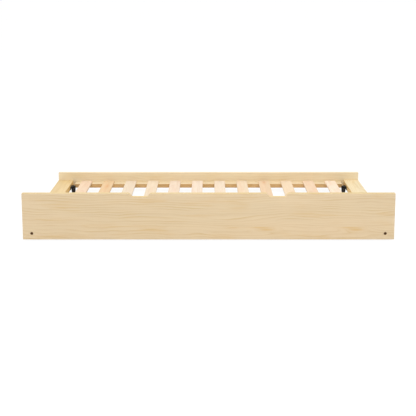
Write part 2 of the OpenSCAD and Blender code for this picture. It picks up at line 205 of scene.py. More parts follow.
class Shell:
    """Collects points and faces, then turns them into one piece of the bed."""

    def __init__(self) -> None:
        """Starts with no points and no faces."""
        self.points: list[Array] = []
        self.faces: list[list[int]] = []
        self.smooth: list[bool] = []
        self.count = 0

    def add_points(self, points: Array) -> int:
        """Adds points of any grid shape and returns the index of the first."""
        first = self.count
        flat = np.asarray(points, float).reshape(-1, 3)
        self.points.append(flat)
        self.count += len(flat)
        return first

    def add_faces(self, faces: Array | Sequence[Sequence[int]], smooth: bool = True) -> None:
        """Adds faces, each a row of point indices."""
        rows = faces.tolist() if isinstance(faces, np.ndarray) else [list(f) for f in faces]
        self.faces += rows
        self.smooth += [smooth] * len(rows)

    def add_grid(self, grid: Array, close_rows: bool = False) -> int:
        """Adds rings of points with a four-sided face between each four neighbours.

        Args:
            grid: points, (rings, points in a ring, 3).
            close_rows: joins the last ring to the first.

        Returns:
            The index of the grid's first point.
        """
        rows, columns = grid.shape[:2]
        first = self.add_points(grid)
        row = np.arange(rows if close_rows else rows - 1)[:, None]
        column = np.arange(columns)[None, :]
        here, below = row * columns, (row + 1) % rows * columns
        beside = (column + 1) % columns
        quads = np.stack([here + column, here + beside, below + beside, below + column], axis=-1)
        self.add_faces(quads.reshape(-1, 4) + first)
        return first

    def add_cap(self, loops: Sequence[Array], flats: Sequence[Array]) -> None:
        """Fills a flat outline with holes.

        Args:
            loops: the point indices of the outer line, then of each hole.
            flats: the same lines as (n, 2) points in the flat's own plane.
        """
        lines = [[Vector((*point, 0.0)) for point in flat.tolist()] for flat in flats]
        triangles = tessellate_polygon(lines)
        index = np.concatenate(loops)
        self.add_faces(index[np.array(triangles, int)], smooth=False)

    def piece(self, name: str, material: Material) -> bpy.types.Object:
        """Makes the object, with its faces turned outwards.

        Args:
            name: the piece's name.
            material: its finish.

        Returns:
            An object at the origin whose place is in its mesh.
        """
        mesh = bpy.data.meshes.new(name)
        mesh.from_pydata(np.concatenate(self.points).tolist(), [], self.faces)
        mesh.polygons.foreach_set("use_smooth", np.array(self.smooth, bool))
        work = bmesh.new()
        work.from_mesh(mesh)
        bmesh.ops.recalc_face_normals(work, faces=work.faces)
        work.to_mesh(mesh)
        work.free()
        mesh.materials.append(material)
        mesh.update()
        made = bpy.data.objects.new(name, mesh)
        bpy.context.scene.collection.objects.link(made)
        return made


@dataclass(frozen=True)
class Place:
    """A flat frame in space: where (u, v, w) = 0 lies, and the directions of u, v and w."""

    origin: Array
    u: Array
    v: Array
    w: Array

    def lift(self, flat: Array, depth: float | Array = 0.0) -> Array:
        """origin + u times the first column + v times the second + w times depth."""
        depth = np.broadcast_to(np.asarray(depth, float), flat.shape[:-1])
        return (
            self.origin + flat[..., :1] * self.u + flat[..., 1:2] * self.v
            + depth[..., None] * self.w
        )


@dataclass(frozen=True)
class Blank:
    """A board's box: its corners on its outer face, that face's place and its thickness."""

    low: tuple[float, float]
    high: tuple[float, float]
    place: Place
    thickness: float

    @classmethod
    def upright(cls, node: str, outer: End) -> "Blank":
        """An upright board, whose outer face points to one end of the bed."""
        low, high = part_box(node)
        face = np.array([0.0, low.y if outer is End.FRONT else high.y, 0.0])
        place = Place(face, Axis.X.unit(), Axis.Z.unit(), -outer.value * Axis.Y.unit())
        return cls((low.x, low.z), (high.x, high.z), place, high.y - low.y)

    @classmethod
    def lying(cls, node: str) -> "Blank":
        """A board that lies flat, whose outer face is its top."""
        low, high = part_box(node)
        top = np.array([0.0, 0.0, high.z])
        place = Place(top, Axis.X.unit(), Axis.Y.unit(), -Axis.Z.unit())
        return cls((low.x, low.y), (high.x, high.y), place, high.z - low.z)

    def outline(self, corner: float) -> Outline:
        """Its rectangle with rounded corners."""
        return Outline.box(self.low, self.high, corner)


def bevelled(radius: float, depth: float) -> tuple[tuple[float, float], ...]:
    """(radius, depth) steps of a bore with a narrow bevel round its mouth."""
    return ((radius + BORE_BEVEL, 0.0), (radius, BORE_BEVEL), (radius, depth))


@dataclass(frozen=True)
class Hole:
    """A round hole: (radius, depth) steps from the face that it is bored in.

    It goes right through where its last depth is the board's thickness.
    """

    centre: tuple[float, float]
    steps: tuple[tuple[float, float], ...]
    from_back: bool = False
    facets: int = 28

    def ring(self, radius: float) -> Array:
        """Points on a circle round the hole's middle."""
        a = np.linspace(0, 2 * np.pi, self.facets, endpoint=False)
        return np.asarray(self.centre) + radius * np.stack([np.cos(a), np.sin(a)], axis=1)


@dataclass(frozen=True)
class Board:
    """A plank: an outline with a thickness, eased edges and bored holes."""

    outline: Outline
    blank: Blank
    ease: float
    holes: tuple[Hole, ...] = ()
    ease_steps: int = 5

    def shell(self) -> Shell:
        """Sweeps the edge's profile round the outline and fills both faces.

        A quarter circle at angle a lies ease * (1 - sin a) inside the outline, at a depth of
        ease * (1 - cos a) from the face; the second face has the same, mirrored.

        Returns:
            The closed shell of the board.
        """
        shell = Shell()
        a = np.linspace(0, np.pi / 2, self.ease_steps + 1)
        inset = self.ease * (1 - np.sin(a))
        depth = self.ease * (1 - np.cos(a))
        insets = np.concatenate([inset, inset[::-1]])
        depths = np.concatenate([depth, self.blank.thickness - depth[::-1]])
        flat = self.outline.points[None] - insets[:, None, None] * self.outline.normals[None]
        grid = self.blank.place.lift(flat, depths[:, None])
        first = shell.add_grid(grid)
        columns = grid.shape[1]
        last = first + (len(depths) - 1) * columns
        fronts = [(np.arange(columns) + first, flat[0])]
        backs = [(np.arange(columns) + last, flat[-1])]
        for hole in self.holes:
            self._bore(shell, hole, fronts, backs)
        for lines in (fronts, backs):
            shell.add_cap([index for index, _ in lines], [flat for _, flat in lines])
        return shell

    def _bore(self, shell: Shell, hole: Hole, fronts: Lines, backs: Lines) -> None:
        """Adds a hole's wall, and its rims to the faces that they open in.

        Args:
            shell: the board's shell so far.
            hole: the hole to bore.
            fronts: (indices, points) of the lines that bound the front face.
            backs: the same for the back face.
        """
        rings = np.stack([hole.ring(radius) for radius, _ in hole.steps])
        depths = np.array([depth for _, depth in hole.steps])
        if hole.from_back:
            depths = self.blank.thickness - depths
        first = shell.add_grid(self.blank.place.lift(rings, depths[:, None]))
        mouth = np.arange(hole.facets) + first
        floor = mouth + (len(depths) - 1) * hole.facets
        near, far = (backs, fronts) if hole.from_back else (fronts, backs)
        near.append((mouth, rings[0]))
        if math.isclose(hole.steps[-1][1], self.blank.thickness):
            far.append((floor, rings[-1]))
        else:
            shell.add_faces([floor.tolist()], smooth=False)


def lathe(
    shell: Shell, profile: Array, middle: Array, axis: Array, facets: int = 72, ring: bool = False
) -> None:
    """Turns a profile round an axis: middle + axis * along + radius * (cos t, sin t) beside it.

    Args:
        shell: what the surface is added to.
        profile: (along, radius) rows; a ring's profile is a closed line.
        middle: the point on the axis where along is 0.
        axis: the axis's unit vector.
        facets: faces round the axis.
        ring: True for a ring, False for a solid whose profile ends on the axis.
    """
    t = np.linspace(0, 2 * np.pi, facets, endpoint=False)
    beside = np.roll(axis, 1)
    across = np.cross(axis, beside)
    around = np.cos(t)[:, None] * beside + np.sin(t)[:, None] * across
    rows = profile if ring else profile[1:-1]
    grid = middle + rows[:, None, :1] * axis + rows[:, None, 1:] * around[None]
    first = shell.add_grid(grid, close_rows=ring)
    if ring:
        return
    i = np.arange(facets)
    for along, row in ((profile[0, 0], 0), (profile[-1, 0], len(rows) - 1)):
        pole = shell.add_points(middle + along * axis)
        rim = first + row * facets
        fan = np.stack([np.full(facets, pole), rim + i, rim + (i + 1) % facets], axis=1)
        shell.add_faces(fan)


def sweep_bar(
    shell: Shell, path: Array, normals: Array, half_widths: Array, width_axis: Array,
    thickness: float, corner: float,
) -> None:
    """Carries a rounded rectangle along a path that lies in a plane.

    At each point of the path the ring is path + width_axis * p + normal * q, where (p, q) runs
    round a rectangle of that point's half width by half the thickness, with rounded corners.

    Args:
        shell: what the bar is added to.
        path: (n, 3) points on the bar's middle line.
        normals: (n, 3) unit vectors across its thickness.
        half_widths: (n,) half its width at each point.
        width_axis: the unit vector along its width.
        thickness: its thickness.
        corner: the radius of its long edges.
    """
    quarter = np.radians(np.linspace(0, 90, 4))
    a = np.concatenate([quarter + k * np.pi / 2 for k in range(4)])
    side_p = np.repeat([1, -1, -1, 1], 4)
    side_q = np.repeat([1, 1, -1, -1], 4)
    p = side_p * np.maximum(half_widths[:, None] - corner, 0) + corner * np.cos(a)
    q = np.broadcast_to(side_q * (thickness / 2 - corner) + corner * np.sin(a), p.shape)
    grid = path[:, None] + p[..., None] * width_axis + q[..., None] * normals[:, None]
    first = shell.add_grid(grid)
    ring = np.arange(len(a)) + first
    shell.add_faces([ring.tolist(), (ring + (len(path) - 1) * len(a)).tolist()], smooth=False)


def bent_line(
    corners: Sequence[tuple[float, float]], radius: float, pitch: float
) -> tuple[Array, Array]:
    """A line of straight stretches with a bend of one radius at each inner corner.

    Args:
        corners: its ends and corners, (n, 2).
        radius: the radius of each bend.
        pitch: the largest gap between points on a straight stretch.

    Returns:
        Its points, (m, 2), and the unit normals on their left, (m, 2).
    """
    places = np.asarray(corners, float)
    points, normals = [], []
    start = places[0]
    for i in range(1, len(places)):
        way = direction(places[i - 1], places[i])
        left = left_of(way)
        last = i == len(places) - 1
        stop = places[i]
        if not last:
            after = direction(places[i], places[i + 1])
            turn = turn_between(way, after)
            stop = places[i] - way * radius * math.tan(abs(turn) / 2)
        steps = max(2, int(np.linalg.norm(stop - start) / pitch) + 1)
        s = np.linspace(0, 1, steps)[:, None]
        points.append(start + s * (stop - start))
        normals.append(np.repeat(left[None], steps, axis=0))
        if last:
            break
        hand = math.copysign(1.0, turn)
        centre = stop + hand * radius * left
        t = np.linspace(0, turn, 7)[1:-1, None]
        spun = np.cos(t) * left + np.sin(t) * left_of(left)
        points.append(centre - hand * radius * spun)
        normals.append(spun)
        start = centre - hand * radius * left_of(after)
    return np.concatenate(points), np.concatenate(normals)


# ------------------------------------------------------------------ node graphs


class Graph:
    """A material's node tree, with short calls for the nodes that the finishes share."""

    def __init__(self, name: str) -> None:
        """Starts a material that holds one Principled shader."""
        self.material = bpy.data.materials.new(name)
        self.material.use_nodes = True
        self.tree = self.material.node_tree
        self.shader = self.tree.nodes["Principled BSDF"]
        self.place = self.node("ShaderNodeTexCoord").outputs["Object"]

    def node(self, kind: str, values: Sequence[object] = (), **settings: object) -> Node:
        """A new node with these settings, its first inputs linked or set in order."""
        made = self.tree.nodes.new(kind)
        for name, value in settings.items():
            setattr(made, name, value)
        for socket, value in zip(made.inputs, values):
            self.feed(socket, value)
        return made

    def feed(self, socket: Socket, value: object) -> None:
        """Links a socket to another, or sets its value."""
        if isinstance(value, Socket):
            self.tree.links.new(value, socket)
        else:
            socket.default_value = value

    def surface(self, values: dict[str, object]) -> None:
        """Links or sets inputs of the shader."""
        for name, value in values.items():
            self.feed(self.shader.inputs[name], value)

    def maths(self, operation: str, *values: object, clamp: bool = False) -> Socket:
        """One step of arithmetic."""
        return self.node("ShaderNodeMath", values, operation=operation, use_clamp=clamp).outputs[0]

    def add(self, *values: object) -> Socket:
        """The sum of the values."""
        return reduce(lambda low, high: self.maths("ADD", low, high), values)

    def times(self, first: object, second: object) -> Socket:
        """The product of two values."""
        return self.maths("MULTIPLY", first, second)

    def vector(self, operation: str, *values: object) -> Socket:
        """One step of vector arithmetic; a dot product comes from the second output."""
        made = self.node("ShaderNodeVectorMath", values, operation=operation)
        return made.outputs[1 if operation == "DOT_PRODUCT" else 0]

    def scaled(self, vector: Socket, scale: Sequence[float]) -> Socket:
        """A vector with each part multiplied by its own number."""
        return self.vector("MULTIPLY", vector, tuple(scale))

    def parts(self, vector: Socket) -> list[Socket]:
        """The three parts of a vector."""
        return list(self.node("ShaderNodeSeparateXYZ", (vector,)).outputs)

    def facing(self, axis: Axis) -> Socket:
        """How squarely the surface faces along an axis, either way, from 0 to 1."""
        normal = self.node("ShaderNodeTexCoord").outputs["Normal"]
        return self.maths("ABSOLUTE", self.vector("DOT_PRODUCT", normal, tuple(axis.unit())))

    def noise(
        self, vector: Socket, scale: float = 1.0, detail: float = 2.0, roughness: float = 0.5,
        colour: bool = False,
    ) -> Socket:
        """Soft noise from 0 to 1, or three of them as a colour."""
        made = self.node("ShaderNodeTexNoise")
        for name, value in (
            ("Vector", vector), ("Scale", scale), ("Detail", detail), ("Roughness", roughness),
        ):
            self.feed(made.inputs[name], value)
        return made.outputs["Color" if colour else "Fac"]

    def figure(
        self, board: Socket, along: float, across: float, detail: float = 2.0, **rest: object
    ) -> Socket:
        """Noise with one scale along the grain of a board and another across it."""
        return self.noise(self.scaled(board, (along, across, across)), detail=detail, **rest)

    def curve(self, value: Socket, stops: Sequence[tuple[float, float]]) -> Socket:
        """A smooth curve through (place, level) stops, both from 0 to 1."""
        made = self.node("ShaderNodeValToRGB", (value,))
        band = made.color_ramp
        band.interpolation = "EASE"
        while len(band.elements) < len(stops):
            band.elements.new(0.5)
        for element, (place, level) in zip(band.elements, stops):
            element.position = place
            element.color = (level, level, level, 1.0)
        return made.outputs["Color"]

    def mix(self, share: object, low: object, high: object, how: str = "MIX") -> Socket:
        """Colours low and high, mixed by share."""
        made = self.node("ShaderNodeMix", data_type="RGBA", blend_type=how)
        self.feed(made.inputs["Factor"], share)
        for name, value in (("A", low), ("B", high)):
            socket = next(s for s in made.inputs if s.name == name and s.type == "RGBA")
            self.feed(socket, (*value, 1.0) if isinstance(value, tuple) else value)
        return next(s for s in made.outputs if s.type == "RGBA")

    def tinted(self, colour: Socket, tint: object) -> Socket:
        """A colour multiplied by another."""
        return self.mix(1.0, colour, tint, "MULTIPLY")

    def span(
        self, value: object, low: float, high: float, to_low: float = 0.0, to_high: float = 1.0
    ) -> Socket:
        """A value carried from one span to another, clamped."""
        values = (value, low, high, to_low, to_high)
        return self.node("ShaderNodeMapRange", values).outputs["Result"]

    def bump(self, height: Socket, distance: float, strength: float) -> None:
        """Raises the surface by height times distance."""
        made = self.node("ShaderNodeBump")
        for name, value in (("Strength", strength), ("Distance", distance), ("Height", height)):
            self.feed(made.inputs[name], value)
        self.surface({"Normal": made.outputs["Normal"]})


# ------------------------------------------------------------------ finishes


@dataclass(frozen=True)
class Knot:
    """A knot or a flame of darker grain: where it lies along and across, and its half sizes."""

    along: float
    across: float
    half_along: float
    half_across: float
    depth: float = 0.6

    def nearness(self, g: Graph, spot: Sequence[Socket], spread: float = 1.0) -> Socket:
        """exp(-e squared), where e is the distance to the knot in its own half sizes."""
        squares = []
        for value, middle, half in (
            (spot[0], self.along, self.half_along), (spot[1], self.across, self.half_across),
        ):
            part = g.maths("DIVIDE", g.maths("SUBTRACT", value, middle), half * spread)
            squares.append(g.times(part, part))
        return g.maths("POWER", math.e, g.times(g.add(*squares), -1.0))


@dataclass(frozen=True)
class PineFinish:
    """Sawn pine: growth rings round a pith beside the board, drawn out along its grain."""

    name: str
    early: Colour = (0.80, 0.615, 0.40)
    late: Colour = (0.64, 0.42, 0.17)
    flame: Colour = (0.72, 0.45, 0.16)
    blush_colour: Colour = (0.86, 0.55, 0.34)
    tone: Colour = WHITE
    # side and painted_shading_tone paint light and shade: faces square to the side axis get a tint
    # that stands in for how light falls on them, lighter on some boards and darker on others
    side: Optional[Axis] = None
    painted_shading_tone: Colour = WHITE
    pitch: float = 0.0055
    contrast: float = 0.62
    streak: float = 0.06
    patchy: float = 0.35
    waver: float = 0.05
    golden: float = 0.18
    blush: float = 0.0
    roughness: float = 0.5
    lacquer: float = 0.15
    relief: float = 0.00012
    grain: Axis = Axis.X
    across: Axis = Axis.Z
    pith: tuple[float, float] = (0.0, 0.10)
    taper: float = 0.02
    seed: float = 0.0
    knots: tuple[Knot, ...] = ()

    def material(self) -> Material:
        """The finish's node tree.

        Returns:
            A material that reads Object coordinates and the surface's direction only.
        """
        g = Graph(self.name)
        spot = self._spot(g)
        shift = (self.seed * 3.7, self.seed * 1.9, self.seed)
        board = g.vector("ADD", g.node("ShaderNodeCombineXYZ", spot).outputs[0], shift)
        rings = self._rings(g, board, spot)
        fibres = g.figure(board, 9, 700)
        colour = self._wood(g, board, rings, fibres)
        for knot in self.knots:
            colour = g.mix(g.times(knot.nearness(g, spot), knot.depth), colour, self.flame)
        resin = g.span(g.figure(board, 28, 900, 0.0), 0.70, 0.80, 0.0, 0.25)
        colour = g.mix(resin, colour, self.late)
        end = g.span(g.facing(self.grain), 0.55, 0.9)
        colour = g.tinted(self._end_grain(g, colour, board, end), self.tone)
        # painted light and shade: tints the faces square to the side axis
        if self.side:
            share = g.span(g.facing(self.side), 0.6, 0.95)
            colour = g.mix(share, colour, g.tinted(colour, self.painted_shading_tone))
        rough = g.span(rings, 0, 1, self.roughness + 0.06, self.roughness - 0.08)
        g.surface({
            "Base Color": colour, "Roughness": g.add(rough, g.times(end, 0.2)),
            "Coat Weight": self.lacquer, "Coat Roughness": 0.35, "Specular IOR Level": 0.35,
        })
        g.bump(g.add(g.times(rings, 0.5), g.times(fibres, 0.5)), self.relief, 0.6)
        return g.material

    def _spot(self, g: Graph) -> tuple[Socket, ...]:
        """Where a point lies along the grain, across the face and into the board."""
        third = ({0, 1, 2} - {self.grain.value, self.across.value}).pop()
        parts = g.parts(g.place)
        return tuple(parts[i] for i in (self.grain.value, self.across.value, third))

    def _rings(self, g: Graph, board: Socket, spot: Sequence[Socket]) -> Socket:
        """How far each point is into late wood, from 0 to 1.

        The distance from the pith, which drifts along the board and wavers, is counted in
        rings; each ring darkens slowly and ends sharply.

        Args:
            g: the finish's graph.
            board: the point's place, shifted by the board's seed.
            spot: the point's distances along, across and into the board.

        Returns:
            The share of late wood.
        """
        along, across, depth = spot
        noise = g.figure(board, 1.9, 5, 3.0, colour=True)
        drift = g.parts(g.scaled(g.vector("SUBTRACT", noise, (0.5,) * 3), (self.waver,) * 3))
        side = g.add(g.maths("SUBTRACT", across, self.pith[0]), drift[0])
        deep = g.add(depth, self.pith[1], drift[1])
        far = g.maths("SQRT", g.add(g.times(side, side), g.times(deep, deep)))
        far = g.add(far, g.times(along, self.taper))
        for knot in self.knots:
            far = g.add(far, g.times(knot.nearness(g, spot, 1.7), -2.2 * self.pitch))
        uneven = g.times(g.figure(board, 0.8, 26, 1.0), 1.6)
        part = g.maths("FRACT", g.add(g.maths("DIVIDE", far, self.pitch), uneven))
        band = g.curve(part, [(0.0, 0.0), (0.35, 0.04), (0.68, 0.5), (0.85, 1.0), (1.0, 0.0)])
        return g.times(band, g.span(g.figure(board, 3.2, 24), 0.35, 0.65, self.patchy, 1.0))

    def _wood(self, g: Graph, board: Socket, rings: Socket, fibres: Socket) -> Socket:
        """The wood's colour: rings, then streaks, fibres, blotches, blushes and golden patches.

        Args:
            g: the finish's graph.
            board: the point's place, shifted by the board's seed.
            rings: the share of late wood.
            fibres: fine noise along the grain.

        Returns:
            The colour before knots, resin and end grain.
        """
        streaks = g.figure(board, 1.6, 55, 3.0, roughness=0.6)
        blotches = g.figure(board, 1.1, 5)
        level = g.add(
            g.span(streaks, 0.25, 0.75, -self.streak, self.streak),
            g.span(fibres, 0.2, 0.8, -0.03, 0.03),
            g.span(blotches, 0.3, 0.7, -0.035, 0.035), 1.0,
        )
        powers = [g.maths("POWER", level, strength) for strength in (0.8, 1.0, 1.3)]
        colour = g.mix(g.times(rings, self.contrast), self.early, self.late)
        colour = g.tinted(colour, g.node("ShaderNodeCombineColor", powers).outputs[0])
        warm = g.times(g.span(blotches, 0.45, 0.75), 0.12 + self.blush)
        colour = g.mix(warm, colour, self.blush_colour)
        patches = g.span(g.figure(board, 4.5, 32), 0.54, 0.70)
        return g.mix(g.times(patches, self.golden), colour, self.flame)

    def _end_grain(self, g: Graph, colour: Socket, board: Socket, end: Socket) -> Socket:
        """Darker, porous wood where the surface cuts across the grain."""
        dull = tuple(0.75 * late + 0.25 * early for late, early in zip(self.late, self.early))
        pores = g.span(g.figure(board, 900, 900, 1.0), 0.35, 0.7, 0.55, 0.85)
        return g.mix(g.times(end, 0.55), colour, g.mix(pores, colour, dull))


@dataclass(frozen=True)
class MetalFinish:
    """Plated or painted steel with fine scratches, blotches and an uneven sheen."""

    name: str
    base: Colour = (0.60, 0.61, 0.63)
    worn: Colour = (0.74, 0.74, 0.72)
    metallic: float = 1.0
    roughness: float = 0.35
    scratch: float = 0.12
    grit: float = 0.00003
    specular: float = 0.5

    def material(self) -> Material:
        """The finish's node tree."""
        g = Graph(self.name)
        blotch = g.noise(g.place, 90.0, 3.0)
        lines = g.figure(g.place, 300, 5200)
        share = g.times(g.span(blotch, 0.45, 0.8), 0.5)
        share = g.maths("ADD", share, g.span(lines, 0.62, 0.75, 0.0, self.scratch), clamp=True)
        uneven = g.span(blotch, 0.3, 0.7, -0.07, 0.07)
        streak = g.span(lines, 0.35, 0.65, -0.05, 0.05)
        g.surface({
            "Base Color": g.mix(share, self.base, self.worn), "Metallic": self.metallic,
            "Roughness": g.add(uneven, streak, self.roughness),
            "Specular IOR Level": self.specular,
        })
        g.bump(g.noise(g.place, 2600.0), self.grit, 0.5)
        return g.material


@dataclass(frozen=True)
class MouldedFinish:
    """Moulded nylon or rubber: faint flow marks, dust in patches and a fine texture."""

    name: str
    base: Colour
    dust: Colour
    dusty: float
    roughness: float
    grain: float = 0.00004

    def material(self) -> Material:
        """The finish's node tree."""
        g = Graph(self.name)
        flow = g.noise(g.place, 55.0, 3.0, 0.6)
        fine = g.noise(g.place, 3200.0)
        patches = g.span(g.noise(g.place, 180.0, 4.0, 0.65), 0.48, 0.75)
        share = g.add(g.times(patches, self.dusty), g.times(fine, 0.02))
        g.surface({
            "Base Color": g.mix(share, self.base, self.dust), "Specular IOR Level": 0.4,
            "Roughness": g.add(g.span(flow, 0.3, 0.7, -0.06, 0.08), self.roughness),
        })
        g.bump(fine, self.grain, 0.6)
        return g.material


@dataclass(frozen=True)
class Look:
    """What a piece is made of: the first word of its name, its record slot, its material."""

    stuff: str
    slot: str
    material: Material

    @classmethod
    def of_pine(cls, finish: PineFinish, slot: str = "board_pine") -> "Look":
        """The look of a board with this finish."""
        return cls("pine", slot, finish.material())

    def settle(self, shell: Shell, node: str, body: str = FRAME_BODY) -> None:
        """Makes the piece that stands for a frame node, on its body.

        Args:
            shell: the piece's surface.
            node: the frame node that it replaces.
            body: the body that it rides on.
        """
        piece = shell.piece(f"{self.stuff}_{node}", self.material)
        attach(piece, body)
        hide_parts(node)
        log.info("%s: %d faces on %s", piece.name, len(piece.data.polygons), body)


# ------------------------------------------------------------------ sub-assemblies


@dataclass(frozen=True)
class Layout:
    """Places that the boards share, all read from the frame's boxes."""

    slats: int = 12
    bolt_head_radius: float = 0.0075
    slat_screw_head_radius: float = 0.0035
    nut_radius: float = 0.005
    ledge_screw_shift: float = 0.015

    @staticmethod
    def height(node: str) -> float:
        """Height of a node's middle."""
        low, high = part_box(node)
        return (low.z + high.z) / 2

    def bolt_x(self) -> float:
        """Distance from the bed's middle to a corner bolt."""
        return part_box("corner_bolts")[1].x - self.bolt_head_radius

    def bolt_z(self) -> float:
        """Height of the corner bolts."""
        return self.height("corner_bolts")

    def slat_screw_y(self) -> float:
        """Distance from the bed's middle to the slat screws."""
        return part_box("slat_screws")[1].y - self.slat_screw_head_radius

    def nut_y(self) -> float:
        """Distance from the bed's middle to the barrel nuts."""
        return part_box("barrel_nuts")[1].y - self.nut_radius

    def slat_middles(self) -> list[float]:
        """X of each slat's middle, from the left."""
        boxes = [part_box(f"slat_{i:02d}") for i in range(1, self.slats + 1)]
        return [(low.x + high.x) / 2 for low, high in boxes]

    def ledge_screw_xs(self) -> list[float]:
        """X of each ledge screw: beside the middle of every second slat, in both halves."""
        middles = self.slat_middles()[: self.slats // 2 : 2]
        return [side.value * (-x - self.ledge_screw_shift) for side in Side for x in middles]


@dataclass
class BedEnds:
    """The tall front panel with its finger scoops, and the low back rail."""

    layout: Layout
    corner: float = 0.003
    ease: float = 0.0015
    scoop_width: float = 0.127
    scoop_flat: float = 0.067
    scoop_steps: int = 10
    counterbore_radius: float = 0.008
    counterbore_depth: float = 0.003
    bolt_bore_radius: float = 0.0031
    flame_places: tuple[float, ...] = (0.294, 0.765)
    flame_rise: float = 0.026
    flame_parts: tuple[Knot, ...] = (
        Knot(-0.018, 0.006, 0.058, 0.0048, 0.6), Knot(0.010, -0.005, 0.040, 0.0068, 0.65),
    )

    def bolt_holes(self, thickness: float) -> tuple[Hole, ...]:
        """The counterbored holes for the corner bolts."""
        steps = bevelled(self.counterbore_radius, self.counterbore_depth) + (
            (self.bolt_bore_radius, self.counterbore_depth), (self.bolt_bore_radius, thickness),
        )
        x, z = self.layout.bolt_x(), self.layout.bolt_z()
        return tuple(Hole((side.value * x, z), steps) for side in Side)

    def scoop_arcs(self, middle: float, top: float, depth: float) -> list[Arc]:
        """The four arcs of a finger scoop, from its right shoulder to its left one.

        Each flank is two equal arcs that meet at half depth; with run r and depth d they turn
        by 2 atan(d / r) and have a radius of r / (2 sin(turn)).

        Args:
            middle: the scoop's middle along the bed.
            top: the height of the panel's top edge.
            depth: how far the scoop goes below it.

        Returns:
            The arcs, anticlockwise round the panel.
        """
        run = (self.scoop_width - self.scoop_flat) / 2
        turn = 2 * math.atan(depth / run)
        radius = run / (2 * math.sin(turn))
        swing = math.degrees(turn)
        half, flat = self.scoop_width / 2, self.scoop_flat / 2
        high, low = top - radius, top - depth + radius
        rows = [
            (middle + half, high, 90, 90 + swing, False),
            (middle + flat, low, swing - 90, -90, True),
            (middle - flat, low, -90, -90 - swing, True),
            (middle - half, high, 90 - swing, 90, False),
        ]
        return [
            Arc((x, z), radius, start, stop, hollow, self.scoop_steps)
            for x, z, start, stop, hollow in rows
        ]

    def panel_outline(self, blank: Blank, openings: dict[str, Box]) -> Outline:
        """The panel's outline with a scoop at each finger opening of the record.

        Args:
            blank: the panel's box.
            openings: the record's opening boxes by name.

        Returns:
            The outline, anticlockwise from its lower left corner.
        """
        r = self.corner
        left, right = blank.low[0] + r, blank.high[0] - r
        bottom, top = blank.low[1] + r, blank.high[1] - r
        arcs = [
            Arc((left, bottom), r, 180, 270), Arc((right, bottom), r, 270, 360),
            Arc((right, top), r, 0, 90),
        ]
        for side in ("right", "left"):
            low, high = openings[f"{side}_finger_scoop"]
            depth = round(blank.high[1] - low[2], 3)
            arcs += self.scoop_arcs((low[0] + high[0]) / 2, blank.high[1], depth)
        return Outline.of_arcs(arcs + [Arc((left, top), r, 90, 180)])

    def flames(self) -> tuple[Knot, ...]:
        """Two flames of golden grain, each a long thin streak over a short thick one."""
        height = self.layout.bolt_z() + self.flame_rise
        return tuple(
            replace(part, along=x + part.along, across=height + part.across)
            for x in self.flame_places for part in self.flame_parts
        )

    def build(self, openings: dict[str, Box]) -> None:
        """Makes both boards.

        Args:
            openings: the record's opening boxes by name.
        """
        panel, rail = Blank.upright("front_panel", End.FRONT), Blank.upright("back_rail", End.REAR)
        board = Board(self.panel_outline(panel, openings), panel, self.ease,
                      self.bolt_holes(panel.thickness))
        # side=Axis.Z with painted_shading_tone is painted shade: it darkens the panel's top and
        # bottom faces
        finish = PineFinish(
            "panel_pine", pith=(-0.30, 0.16), taper=0.004, seed=1.0, pitch=0.0115,
            contrast=0.62, patchy=0.08, streak=0.035, waver=0.075, golden=0.26,
            side=Axis.Z, painted_shading_tone=(0.908, 0.880, 0.643), tone=(0.917, 0.950, 0.956),
            knots=self.flames(),
        )
        Look.of_pine(finish).settle(board.shell(), "front_panel")
        board = Board(rail.outline(self.corner), rail, self.ease, self.bolt_holes(rail.thickness))
        finish = PineFinish(
            "rail_pine", pith=(-0.25, 0.06), taper=0.004, seed=2.0, pitch=0.009,
            contrast=0.4, patchy=0.1, tone=(1.080, 1.201, 1.280),
        )
        Look.of_pine(finish).settle(board.shell(), "back_rail")


